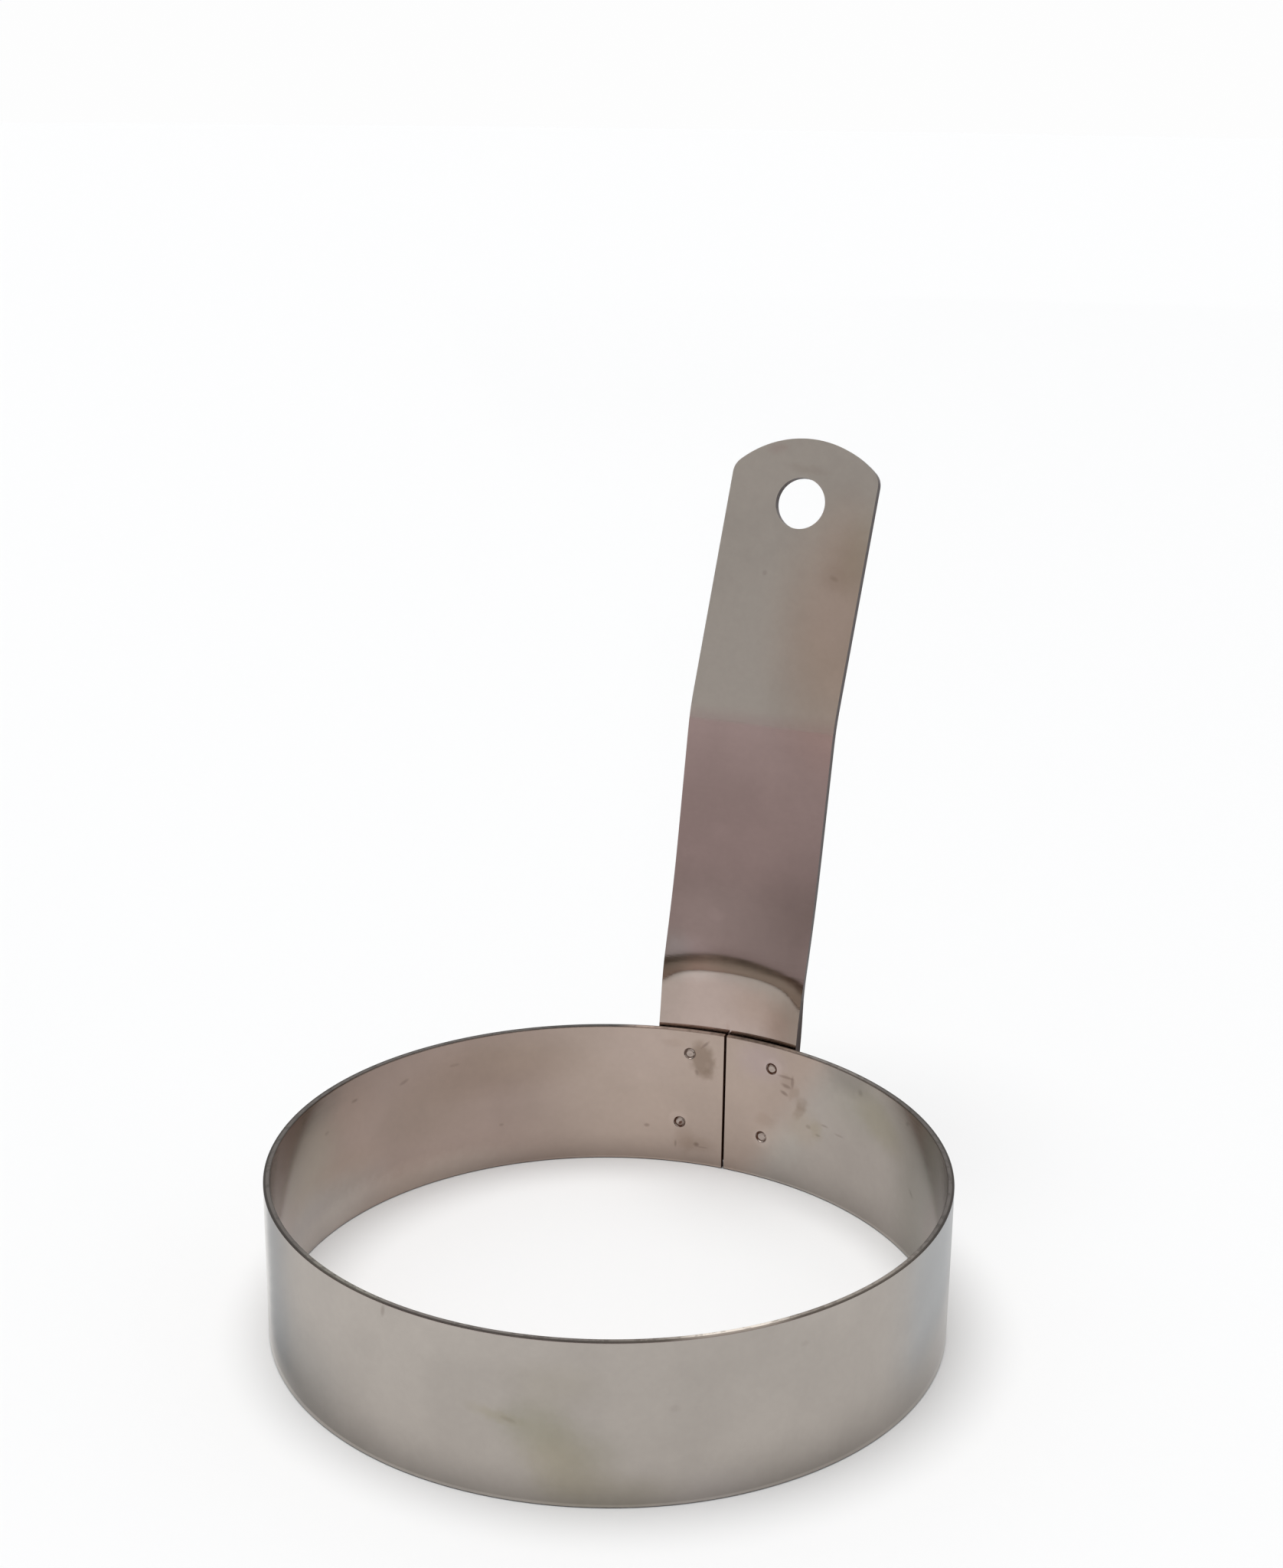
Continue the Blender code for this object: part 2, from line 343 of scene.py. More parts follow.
def make_ring_band(welds):
    cuts = bmesh.new()
    for arc, z in welds:
        reach = [(0, -WALL), (BORE_RADIUS, -WALL), (BORE_RADIUS, 3 * WALL), (0, 3 * WALL)]
        add_turned(cuts, reach, BORE_SIDES, radial(arc, z, INNER_RADIUS))
    bores = cutter(cuts)
    band = finished("ring_band_steel", band_sheet(), [subtract(bores)], BAND_SHARP)
    drop(bores)
    return band


def dress_ring_band(band):
    """Store each corner's arc, height and depth, and which faces are sheared edges."""
    mesh = band.data
    points = vertex_positions(mesh) - np.array(AXIS)
    centres = np.array([tuple(p.center) for p in mesh.polygons]) - np.array(AXIS)
    corners = np.array([loop.vertex_index for loop in mesh.loops])
    faces = np.repeat(np.arange(len(centres)), [p.loop_total for p in mesh.polygons])
    once_round = 2 * math.pi * OUTER_RADIUS
    face_arcs = np.arctan2(centres[:, 0], centres[:, 1]) * OUTER_RADIUS
    face_arcs[face_arcs < ARC_START] += once_round
    arcs = (np.arctan2(points[:, 0], points[:, 1]) * OUTER_RADIUS)[corners]
    arcs += np.round((face_arcs[faces] - arcs) / once_round) * once_round
    depths = (np.hypot(points[:, 0], points[:, 1]) - INNER_RADIUS)[corners]
    store_vectors(mesh, "place_mm", np.stack([arcs, points[corners, 2], depths], 1) / MM, "CORNER")
    normals = np.array([tuple(p.normal) for p in mesh.polygons])
    outward = centres[:, :2] / np.linalg.norm(centres[:, :2], axis=1)[:, None]
    facing = np.abs((normals[:, :2] * outward).sum(1))
    store_numbers(mesh, "sheared", facing < BAND_SHEARED_BELOW, "FACE")


# The handle

def profile_table():
    """Heights along the strip, and its outward and upward run from the rim at each of them."""
    heights = np.linspace(LEANS[0][0], LEANS[-1][0], PROFILE_STEPS)
    lean = np.zeros_like(heights)
    for (low, first), (high, second) in zip(LEANS, LEANS[1:]):
        inside = (heights >= low) & (heights <= high)
        lean[inside] = first + (second - first) * smoothstep((heights[inside] - low) / (high - low))
    lean = np.radians((lean[1:] + lean[:-1]) / 2)
    step = np.diff(heights)
    out = np.concatenate([[0], np.cumsum(np.sin(lean) * step)])
    up = np.concatenate([[0], np.cumsum(np.cos(lean) * step)])
    up -= np.interp(0, heights, up)
    return heights * MM, out * MM, up * MM


PROFILE = profile_table()


def profile(height):
    return np.interp(height, PROFILE[0], PROFILE[1]), np.interp(height, PROFILE[0], PROFILE[2])


def roll(x, height):
    """Place a point of the flat pattern on the handle's inner face, from the ring's axis."""
    side = x / HALF_WIDTH
    early = (CREASE_ARCH * side ** 2 + CREASE_SKEW * side) * smoothstep(2 * height / FLAT_FROM)
    early *= 1 - smoothstep((height - ARCH_FADE_FROM) / ARCH_FADE_LENGTH)
    out, up = profile(height + early)
    k = 1 - smoothstep(height / FLAT_FROM)
    angle = x / TAB_RADIUS
    across = k * TAB_RADIUS * math.sin(angle) + (1 - k) * x
    back = k * TAB_RADIUS * math.cos(angle) + (1 - k) * (TAB_RADIUS - TAB_SAGITTA)
    return Vector((across, back + out, BAND_HEIGHT + up - early))


def tilt(x, along):
    """Turn a point of the upright strip by the handle's sideways tilt."""
    cos_tilt, sin_tilt = math.cos(SIDE_TILT), math.sin(SIDE_TILT)
    return x * cos_tilt + along * sin_tilt, along * cos_tilt - x * sin_tilt


def arc_points(centre, radius, start, end, count):
    points = []
    for i in range(count):
        angle = start + (end - start) * i / (count - 1)
        points.append((centre[0] + radius * math.cos(angle), centre[1] + radius * math.sin(angle)))
    return points


def strip_outline():
    """Flat pattern of the handle: rounded foot corners, straight sides and an arched tip."""
    tip_centre = HANDLE_RISE - TIP_RADIUS
    inner_x = HALF_WIDTH - TIP_SHOULDER
    reach = TIP_RADIUS - TIP_SHOULDER
    right_rise = math.sqrt(reach ** 2 - (inner_x - TIP_SHIFT) ** 2)
    left_rise = math.sqrt(reach ** 2 - (inner_x + TIP_SHIFT) ** 2)
    right_blend = math.atan2(right_rise, inner_x - TIP_SHIFT)
    left_blend = math.atan2(left_rise, -inner_x - TIP_SHIFT)
    foot_y = TAB_CORNER - (BAND_HEIGHT - TAB_FOOT_HEIGHT)
    foot_x = HALF_WIDTH - TAB_CORNER
    quarter = math.pi / 2
    outline = arc_points((foot_x, foot_y), TAB_CORNER, -quarter, 0, CORNER_POINTS)
    right, left = (inner_x, tip_centre + right_rise), (-inner_x, tip_centre + left_rise)
    outline += arc_points(right, TIP_SHOULDER, 0, right_blend, CORNER_POINTS)[:-1]
    tip = (TIP_SHIFT, tip_centre)
    outline += arc_points(tip, TIP_RADIUS, right_blend, left_blend, TIP_POINTS)
    outline += arc_points(left, TIP_SHOULDER, left_blend, math.pi, CORNER_POINTS)[1:]
    foot = (-foot_x, foot_y)
    outline += arc_points(foot, TAB_CORNER, math.pi, math.pi + quarter, CORNER_POINTS)
    return outline


def row_heights():
    """Heights of the lines across the strip: close in the bends, wider where it is straight."""
    stretches = (
        (-22 * MM, 0, 2.0 * MM), (0, 4 * MM, 0.7 * MM), (4 * MM, 18 * MM, 0.35 * MM),
        (18 * MM, 30 * MM, 0.8 * MM), (30 * MM, 51 * MM, 1.5 * MM), (51 * MM, 61 * MM, 0.5 * MM),
        (61 * MM, HANDLE_RISE, 2.0 * MM),
    )
    heights = []
    for start, end, step in stretches:
        count = max(round((end - start) / step), 1)
        heights += [start + (end - start) * i / count for i in range(count)]
    return heights


def handle_sheet():
    """The strip's inner face: its flat pattern cut into close rows and columns, then bent."""
    bm = bmesh.new()
    bm.faces.new([bm.verts.new((*tilt(x, along), 0)) for x, along in strip_outline()])
    reach = HALF_WIDTH + HANDLE_RISE * math.sin(SIDE_TILT)
    columns = round(reach / HANDLE_COLUMN)
    lines = [((i * HANDLE_COLUMN, 0, 0), (1, 0, 0)) for i in range(-columns, columns + 1)]
    lines += [((0, height, 0), (0, 1, 0)) for height in row_heights()]
    for point, normal in lines:
        geometry = bm.verts[:] + bm.edges[:] + bm.faces[:]
        bmesh.ops.bisect_plane(bm, geom=geometry, plane_co=point, plane_no=normal, dist=LINE_SNAP)
    for vert in bm.verts:
        x, height = vert.co.x, vert.co.y
        wave = HANDLE_WAVE * noise.noise(Vector((x, height, 0)) / HANDLE_WAVE_LENGTH)
        vert.co = AXIS + roll(x, height) + Vector((0, wave, 0))
    return bm


def handle_holes(welds):
    """A cutter for the hanging hole and for the pockets that the welds reach into."""
    cuts = bmesh.new()
    x, height = tilt(0, HANDLE_RISE - HOLE_TO_TIP)
    facing_blade = Matrix.Rotation(-math.pi / 2 - math.radians(LEANS[-1][1]), 4, "X")
    punch = Matrix.Translation(AXIS + roll(x, height)) @ facing_blade
    half = 2 * HANDLE_THICKNESS
    hole = [(0, -half), (HOLE_RADIUS, -half), (HOLE_RADIUS, half), (0, half)]
    add_turned(cuts, hole, HOLE_SIDES, punch)
    for arc, z in welds:
        pocket = [(0, 0), (BORE_RADIUS, 0), (BORE_RADIUS, POCKET_DEPTH), (0, POCKET_DEPTH)]
        add_turned(cuts, pocket, BORE_SIDES, radial(arc, z, INNER_RADIUS))
    return cutter(cuts)


def handle_dimples(welds):
    """A cutter for the shallow round dents on the tab's back, one behind each weld."""
    marks = bmesh.new()
    for arc, z in welds:
        cap = [(0, -BACK_DIMPLE_DEPTH)]
        for share in (0.25, 0.5, 0.75, 1.0):
            cap.append((share * BACK_DIMPLE_RADIUS, -BACK_DIMPLE_DEPTH * (1 - share ** 2)))
        cap += [(BACK_DIMPLE_RADIUS * 1.2, BACK_DIMPLE_DEPTH), (0, BACK_DIMPLE_DEPTH)]
        add_turned(marks, cap, DIMPLE_SIDES, radial(arc, z, TAB_RADIUS + HANDLE_THICKNESS))
    return cutter(marks)


def make_handle(welds):
    holes, dimples = handle_holes(welds), handle_dimples(welds)
    modifiers = [
        ("SOLIDIFY", {"thickness": HANDLE_THICKNESS, "offset": 1.0, "use_even_offset": True}),
        subtract(holes),
        ("BEVEL", {
            "width": HANDLE_EDGE, "segments": EDGE_SEGMENTS, "limit_method": "ANGLE",
            "angle_limit": EDGE_ANGLE, "use_clamp_overlap": True,
            "face_strength_mode": "FSTR_AFFECTED",
        }),
        subtract(dimples),
        ("WEIGHTED_NORMAL", {"keep_sharp": True, "weight": 100, "use_face_influence": True}),
    ]
    handle = finished("handle_steel", handle_sheet(), modifiers)
    drop(holes, dimples)
    return handle


def dress_handle(handle):
    """Store each point's place along the strip, and which faces are sheared edges."""
    mesh = handle.data
    points = vertex_positions(mesh) - np.array(AXIS)
    heights, outs, ups = PROFILE
    up = points[:, 2] - BAND_HEIGHT
    height = np.interp(up, ups, heights)
    out = np.interp(up, ups, outs)
    cos_tilt, sin_tilt = math.cos(SIDE_TILT), math.sin(SIDE_TILT)
    across = points[:, 0] * cos_tilt - height * sin_tilt
    along = height * cos_tilt + points[:, 0] * sin_tilt
    flat = smoothstep(height / FLAT_FROM)
    bow = TAB_RADIUS - np.sqrt(TAB_RADIUS ** 2 - points[:, 0] ** 2)
    depth = points[:, 1] - out - TAB_RADIUS + (1 - flat) * bow + flat * TAB_SAGITTA
    store_vectors(mesh, "place_mm", np.stack([across, along, depth], 1) / MM)
    face_ups = np.array([p.center.z for p in mesh.polygons]) - BAND_HEIGHT
    slopes = np.interp(face_ups, ups, np.gradient(outs, ups))
    normals = np.array([tuple(p.normal) for p in mesh.polygons])
    facing = np.abs(slopes * normals[:, 2] - normals[:, 1]) / np.hypot(slopes, 1)
    store_numbers(mesh, "sheared", facing < HANDLE_SHEARED_BELOW, "FACE")
    straighten_normals(mesh, normals, facing)


def straighten_normals(mesh, normals, facing):
    """Give flat faces their own normal at corners that the rounded edge beside them bends."""
    sides = [p.loop_total for p in mesh.polygons]
    own = np.repeat(normals, sides, axis=0)
    corners = np.array([tuple(c.vector) for c in mesh.corner_normals])
    bent = np.repeat(facing, sides) > math.cos(FLAT_ANGLE)
    bent &= (corners * own).sum(1) < math.cos(BENT_ANGLE)
    corners[bent] = own[bent]
    mesh.normals_split_custom_set(corners)


# The welds

# How dark each weld's ring is, where it fades in degrees clockwise from the right, how much, and
# how much of its middle is burnt
WELD_LOOKS = {
    "spot_weld_upper_left": (0.5, 0, 1.0, 0.1), "spot_weld_upper_right": (1.0, 90, 0.0, 0.0),
    "spot_weld_lower_left": (1.0, -30, 0.7, 0.9), "spot_weld_lower_right": (0.95, 10, 0.85, 0.0),
}


def make_weld(name, arc, z, dark, fade_from, fade, burnt):
    """A nugget through the sheets whose inner end is a flat button with a burnt groove round it."""
    frame_here = radial(arc, z, INNER_RADIUS)
    bm = bmesh.new()
    add_turned(bm, [(r * MM, h * MM) for r, h in WELD_PROFILE], WELD_SIDES, frame_here)
    weld = finished(name, bm, [], WELD_SHARP)
    inverse = np.array(frame_here.inverted())
    points = vertex_positions(weld.data)
    local = (points @ inverse[:3, :3].T + inverse[:3, 3]) / MM
    store_vectors(weld.data, "place_mm", local)
    radius = np.hypot(local[:, 0], local[:, 1])
    angle = np.arctan2(local[:, 1], local[:, 0])
    rounds = [(1.6 * math.cos(a), 1.6 * math.sin(a)) for a in angle]
    uneven = np.array([noise.noise(Vector((x, y, arc / MM))) for x, y in rounds])
    off_groove = np.abs(radius - GROOVE - GROOVE_UNEVEN * uneven) / GROOVE_HALF
    ring = smoothstep(1.35 - off_groove) * (dark + 0.4 * uneven)
    ring *= 1 - fade * smoothstep(0.3 + np.cos(angle - math.radians(fade_from)))
    middle = burnt * smoothstep(1.5 - radius / BURNT_MIDDLE)
    middle *= smoothstep(0.4 + np.cos(angle - math.radians(45)))
    store_numbers(weld.data, "burnt", np.maximum(ring, middle))
    return weld


# Materials

class Wiring:
    """Adds a material's nodes and joins them up."""

    def __init__(self, name):
        self.material = bpy.data.materials.new(name)
        self.material.use_nodes = True
        self.tree = self.material.node_tree
        self.shader = self.tree.nodes["Principled BSDF"]

    def add(self, kind, **settings):
        node = self.tree.nodes.new(kind)
        for key, value in settings.items():
            setattr(node, key, value)
        return node

    def put(self, value, socket):
        """Link a socket to another, or set it to a number, vector or colour."""
        if isinstance(value, bpy.types.NodeSocket):
            self.tree.links.new(value, socket)
        else:
            socket.default_value = value

    def attribute(self, name, output="Vector"):
        node = self.add("ShaderNodeAttribute", attribute_type="GEOMETRY", attribute_name=name)
        return node.outputs[output]

    def math(self, operation, a, b=0.0, clamp=False):
        node = self.add("ShaderNodeMath", operation=operation, use_clamp=clamp)
        self.put(a, node.inputs[0])
        self.put(b, node.inputs[1])
        return node.outputs[0]

    def vector_math(self, operation, a, b=(0, 0, 0)):
        node = self.add("ShaderNodeVectorMath", operation=operation)
        self.put(a, node.inputs[0])
        self.put(b, node.inputs[1])
        return node.outputs["Value" if operation in ("LENGTH", "DOT_PRODUCT") else "Vector"]

    def mapped(self, vector, location=(0, 0, 0), turn=0.0, scale=(1, 1, 1)):
        """The vector as seen from a frame with this place, turn about Z and scale."""
        node = self.add("ShaderNodeMapping", vector_type="TEXTURE")
        self.put(vector, node.inputs["Vector"])
        node.inputs["Location"].default_value = location
        node.inputs["Rotation"].default_value = (0, 0, turn)
        node.inputs["Scale"].default_value = scale
        return node.outputs[0]

    def axis(self, vector, letter):
        node = self.add("ShaderNodeSeparateXYZ")
        self.put(vector, node.inputs[0])
        return node.outputs[letter]

    def ragged(self, vector, scale, amount):
        """The vector shifted by noise, so that round marks get uneven edges."""
        node = self.add("ShaderNodeTexNoise")
        self.put(vector, node.inputs["Vector"])
        node.inputs["Scale"].default_value = scale
        node.inputs["Detail"].default_value = 4.0
        shift = self.vector_math("SUBTRACT", node.outputs["Color"], (0.5, 0.5, 0.5))
        shift = self.vector_math("MULTIPLY", shift, (amount, amount, 0))
        return self.vector_math("ADD", vector, shift)

    def bump(self, height, strength, distance):
        node = self.add("ShaderNodeBump")
        node.inputs["Strength"].default_value = strength
        node.inputs["Distance"].default_value = distance
        self.put(height, node.inputs["Height"])
        return node.outputs[0]

    def noise(self, vector, scale, detail=3.0, roughness=0.5):
        node = self.add("ShaderNodeTexNoise")
        self.put(vector, node.inputs["Vector"])
        node.inputs["Scale"].default_value = scale
        node.inputs["Detail"].default_value = detail
        node.inputs["Roughness"].default_value = roughness
        return node.outputs["Fac"]

    def ramp(self, value, low, high, to_low=0.0, to_high=1.0):
        node = self.add("ShaderNodeMapRange", interpolation_type="SMOOTHSTEP")
        self.put(value, node.inputs["Value"])
        node.inputs["From Min"].default_value = low
        node.inputs["From Max"].default_value = high
        node.inputs["To Min"].default_value = to_low
        node.inputs["To Max"].default_value = to_high
        return node.outputs["Result"]

    def mix(self, factor, a, b, blend="MIX"):
        node = self.add("ShaderNodeMix", data_type="RGBA", blend_type=blend)
        self.put(factor, node.inputs[0])
        self.put(a, node.inputs[6])
        self.put(b, node.inputs[7])
        return node.outputs[2]


def colour(red, green, blue):
    return (red, green, blue, 1.0)


# Tones of the steel. A cut's two are its sharp line and its face.
OUTER_TONE = (0.406, 0.369, 0.335)
INNER_LEFT = (0.34, 0.265, 0.23)
INNER_MIDDLE = (0.435, 0.35, 0.30)
INNER_RIGHT = (0.425, 0.383, 0.348)
HANDLE_TONE = (0.44, 0.39, 0.35)
BAND_CUT = ((0.035, 0.029, 0.025), (0.11, 0.097, 0.088))
HANDLE_CUT = ((0.055, 0.035, 0.028), (0.08, 0.055, 0.048))
# Painted shade: dark brown on the cut faces in the narrow gap of the seam
SEAM_SHADE = (0.05, 0.02, 0.01)
WELD_TONE = (0.44, 0.37, 0.33)
BURNT_TONE = (0.12, 0.048, 0.026)

# Finish of the steel, and of its cut and burnt faces, which mirror less
BAND_ROUGHNESS = 0.15
HANDLE_ROUGHNESS = 0.08
CUT_ROUGHNESS_ADDED = 0.25
WELD_ROUGHNESS = 0.25
BURNT_ROUGHNESS = 0.6
DULL_METALLIC = 0.2
SPECULAR = 0.1
BLOTCHES_PER_METRE = 70.0
MOTTLES_PER_METRE = 900.0
GRAIN_STRETCH = (30, 0.25, 30)
GRAIN_DEPTH = 0.002 * MM
PIT_DEPTH = 0.01 * MM

# Arcs in mm over which the inner wall's tones pass into each other. The change from middle to
# right is given at the wall's foot and lies farther right by the slant higher up.
LEFT_TO_MIDDLE = (-42, -22)
MIDDLE_TO_RIGHT = (0.5, 9)
RIGHT_SLANT = 0.6
RIGHT_TO_LEFT = (190, 215)

# Depths in mm over which a cut's outer line comes in and its inner line goes, and distances
# from the seam in mm over which the seam's painted shade goes
OUTER_LINE = (0.5, 0.68)
INNER_LINE = (0.06, 0.14)
SEAM_SHADE_FADE = (0.2, 0.3)

# Marks on the sheets: x and y in mm, half width, half height, turn in degrees, softness of the
# edge, strength, and the factors that they change the steel's colour by
DARK = (0.45, 0.40, 0.38)
BROWN = (0.74, 0.69, 0.64)
OLIVE = (0.88, 0.87, 0.76)
PALE = (1.14, 1.14, 1.16)
# The last two are painted shade and painted light
SHADY = (0.74, 0.75, 0.72)
PAINTED_LIGHT_FACTOR = (1.35, 1.28, 1.25)
MARK_DEPTH = 1000.0

# Painted highlights on the rim's top edge at these arcs, and one painted shade where it is darker
PAINTED_RIM_LIGHT_AND_SHADE = (
    (115.0, 25.0, 24.0, 6.0, 0, 0.4, 1.0, (2.4, 2.4, 2.3)),
    (124.5, 25.0, 7.0, 6.0, 0, 0.5, 1.0, (3.2, 3.3, 3.4)),
    (161.0, 25.0, 16.0, 6.0, 0, 0.5, 1.0, (1.5, 1.5, 1.5)),
    (183.5, 25.0, 8.0, 6.0, 0, 0.5, 1.0, (1.8, 1.9, 1.8)),
    (-9.0, 25.0, 8.0, 6.0, 0, 0.4, 1.0, (4.2, 3.6, 3.3)),
    (-25.0, 25.0, 7.0, 6.0, 0, 0.6, 1.0, (0.6, 0.6, 0.6)),
    (6.5, 25.0, 7.0, 6.0, 0, 0.3, 1.0, (2.1, 1.8, 1.6)),
    (20.0, 25.0, 9.0, 6.0, 0, 0.6, 1.0, (1.9, 1.9, 1.9)),
)
INNER_STAINS_AND_PAINTED_LIGHT = (
    (-4.4, 19.9, 2.1, 3.2, 12, 0.35, 1.0, (0.68, 0.65, 0.61)),
    (-3.2, 17.2, 1.0, 0.9, 0, 0.5, 0.35, BROWN),
    (-9.6, 22.6, 1.6, 0.7, 0, 0.7, 0.25, BROWN),
    (11.9, 19.2, 1.3, 1.4, 20, 0.45, 0.3, BROWN),
    (13.2, 17.4, 0.8, 1.4, -35, 0.5, 0.45, BROWN),
    (14.8, 16.0, 1.1, 1.3, -35, 0.5, 0.45, BROWN),
    (14.6, 14.6, 0.9, 1.7, -35, 0.45, 0.55, BROWN),
    (7.8, 11.0, 1.9, 1.2, 0, 0.6, 0.3, BROWN),
    (-7.2, 4.4, 1.6, 2.0, 0, 0.7, 0.4, BROWN),
    (-5.0, 4.0, 2.6, 1.2, 0, 0.7, 0.35, BROWN),
    (33.5, 19.0, 6.0, 3.0, -20, 0.6, 0.6, OLIVE),
    (18.3, 12.4, 1.2, 1.6, 0, 0.7, 0.5, OLIVE),
    (-74.0, 9.0, 7.0, 4.0, 0, 0.7, 0.3, OLIVE),
    # From here on: painted light and shade, soft lighter and darker patches that stand in for the light
    # and shade the wall mirrors
    (-82.0, 3.5, 15.0, 5.5, 0, 0.6, 1.0, (1.08, 1.23, 1.31)),
    (-68.0, 2.0, 26.0, 3.0, 0, 0.6, 1.0, (1.22, 1.22, 1.2)),
    (-86.0, 16.0, 9.0, 7.0, 0, 0.6, 1.0, (0.97, 1.05, 1.0)),
    (-26.0, 14.0, 8.0, 14.0, 0, 0.7, 1.0, (0.94, 0.94, 0.94)),
    (-56.0, 13.5, 9.0, 5.0, 0, 0.7, 1.0, (0.92, 0.92, 0.90)),
    (25.0, 25.0, 5.0, 3.5, 0, 0.6, 1.0, (0.76, 0.76, 0.76)),
    (-42.0, 19.0, 13.0, 4.5, 0, 0.7, 1.0, (0.89, 0.87, 0.84)),
    (-52.0, 1.0, 14.0, 3.0, 0, 0.7, 1.0, (1.04, 1.10, 1.12)),
    (-80.0, 24.0, 6.0, 3.5, 0, 0.6, 1.0, (0.85, 0.88, 0.88)),
    (-15.0, 21.0, 7.0, 5.0, 0, 0.7, 1.0, (1.08, 1.08, 1.10)),
    (-40.0, 21.5, 6.0, 4.0, 0, 0.7, 1.0, (1.06, 1.07, 1.06)),
    (-73.0, 19.5, 6.0, 5.0, 0, 0.7, 1.0, (0.93, 0.92, 0.90)),
    (55.0, 8.0, 5.0, 7.0, 0, 0.5, 1.0, (0.99, 0.91, 0.92)),
    (53.0, 22.0, 5.0, 6.0, 0, 0.6, 1.0, (0.86, 0.89, 0.86)),
    (29.0, 25.0, 7.0, 1.5, 0, 0.7, 1.0, (1.08, 1.08, 1.08)),
    (62.0, 15.0, 5.0, 9.0, 0, 0.6, 1.0, (0.84, 0.83, 0.85)),
    (15.5, 12.0, 3.0, 3.0, 0, 0.7, 1.0, (0.98, 0.95, 0.90)),
    (6.5, 21.7, 4.0, 3.0, 0, 0.7, 1.0, (1.0, 1.0, 1.08)),
    (11.3, 7.0, 4.0, 4.0, 0, 0.7, 1.0, (1.08, 1.10, 1.10)),
    (30.0, 20.5, 9.0, 5.0, 0, 0.7, 1.0, (0.87, 0.89, 0.86)),
    (50.0, 14.0, 11.0, 18.0, 0, 0.5, 1.0, SHADY),
    (-92.0, 24.0, 10.0, 6.0, 0, 0.5, 0.5, SHADY),
    (180.5, 12.5, 32.0, 40.0, 0, 0.2, 1.0, PAINTED_LIGHT_FACTOR),
)
INNER_SPECKS = (
    (-3.9, 22.8, 0.9, 0.22, 45, 0.6, 0.5, DARK),
    (-5.4, 17.4, 0.3, 0.5, 20, 0.6, 0.4, DARK),
    (11.5, 20.0, 1.4, 0.24, 0, 0.6, 0.5, DARK),
    (12.9, 19.4, 0.3, 1.0, 0, 0.6, 0.5, DARK),
    (11.7, 18.4, 0.9, 0.3, -10, 0.6, 0.5, DARK),
    (11.3, 17.0, 0.75, 0.3, -20, 0.6, 0.6, DARK),
    (16.5, 12.3, 0.5, 0.35, 0, 0.6, 0.35, DARK),
    (20.0, 13.6, 0.7, 0.18, 0, 0.6, 0.4, DARK),
    (18.6, 11.4, 0.5, 0.2, 0, 0.6, 0.35, DARK),
    (23.3, 13.0, 0.9, 0.18, 0, 0.6, 0.3, DARK),
    (-9.0, 3.5, 0.2, 0.6, 0, 0.6, 0.45, DARK),
    (-5.2, 3.8, 0.45, 0.35, 0, 0.7, 0.6, DARK),
    (-4.1, 3.4, 1.0, 0.12, 0, 0.6, 0.3, DARK),
    (-14.2, 6.55, 0.45, 0.3, 0, 0.6, 0.5, DARK),
    (-59.4, 20.4, 0.9, 0.3, 15, 0.6, 0.35, DARK),
    (-70.8, 20.9, 0.7, 0.25, 0, 0.6, 0.45, DARK),
    (-49.2, 20.8, 0.9, 0.25, 0, 0.6, 0.25, DARK),
    (-40.4, 7.9, 0.4, 0.25, 0, 0.6, 0.3, DARK),
    (-78.5, 18.2, 0.6, 0.3, 0, 0.6, 0.3, DARK),
    (28.0, 22.5, 0.5, 0.5, 0, 0.6, 0.3, DARK),
    (41.5, 22.6, 0.6, 0.3, 30, 0.6, 0.4, DARK),
    (44.0, 11.4, 0.9, 0.3, -35, 0.6, 0.35, DARK),
    (-4.5, 22.4, 0.35, 0.3, 0, 0.6, 0.6, PALE),
    (-3.4, 19.1, 0.5, 0.5, 0, 0.6, 0.6, PALE),
    (8.9, 21.2, 1.7, 1.5, 0, 0.3, 0.6, PALE),
    (7.0, 7.4, 1.7, 1.5, 0, 0.3, 0.6, PALE),
    (-8.6, 8.3, 1.6, 1.3, 0, 0.3, 0.5, PALE),
)
OUTER_STAINS_AND_PAINTED_LIGHT = (
    (150.0, 9.5, 3.6, 5.0, -25, 0.9, 0.6, OLIVE),
    (146.5, 6.0, 4.5, 4.0, -20, 0.9, 0.6, OLIVE),
    (157.0, 12.8, 3.4, 0.8, 10, 0.8, 0.6, OLIVE),
    (142.0, 2.0, 8.0, 2.5, 0, 0.8, 0.45, OLIVE),
    (151.5, 12.0, 4.5, 3.0, 0, 0.8, 1.0, (0.88, 0.90, 0.86)),
    (144.0, 9.0, 4.0, 3.0, 0, 0.8, 1.0, (0.92, 0.93, 0.92)),
    # Painted light: lighter patches below the rim and at the foot
    (160.0, 24.0, 9.0, 4.0, 0, 0.7, 1.0, (1.08, 1.08, 1.08)),
    (128.0, 1.5, 6.0, 3.0, 0, 0.8, 1.0, (1.07, 1.07, 1.09)),
    (149.0, 18.5, 5.0, 2.5, 0, 0.8, 0.25, OLIVE),
    # Painted light and shade: broad lighter and darker patches for what the wall mirrors; the last is
    # painted shade low on the wall
    (196.0, 18.0, 28.0, 16.0, 0, 0.8, 1.0, (1.08, 1.08, 1.08)),
    (-129.5, 18.0, 28.0, 16.0, 0, 0.8, 1.0, (1.08, 1.08, 1.08)),
    (138.0, 16.0, 22.0, 12.0, 0, 0.8, 1.0, (0.95, 0.95, 0.95)),
    (196.0, 7.5, 10.0, 7.0, 0, 0.7, 1.0, (0.81, 0.83, 0.84)),
)
OUTER_SPECKS = (
    (174.2, 23.8, 0.3, 0.8, 10, 0.6, 0.35, DARK),
    (114.3, 20.8, 0.6, 0.4, 0, 0.7, 0.12, DARK),
    (133.0, 14.8, 0.7, 0.5, 0, 0.7, 0.12, DARK),
    (155.2, 12.4, 1.0, 0.3, 15, 0.6, 0.2, DARK),
)
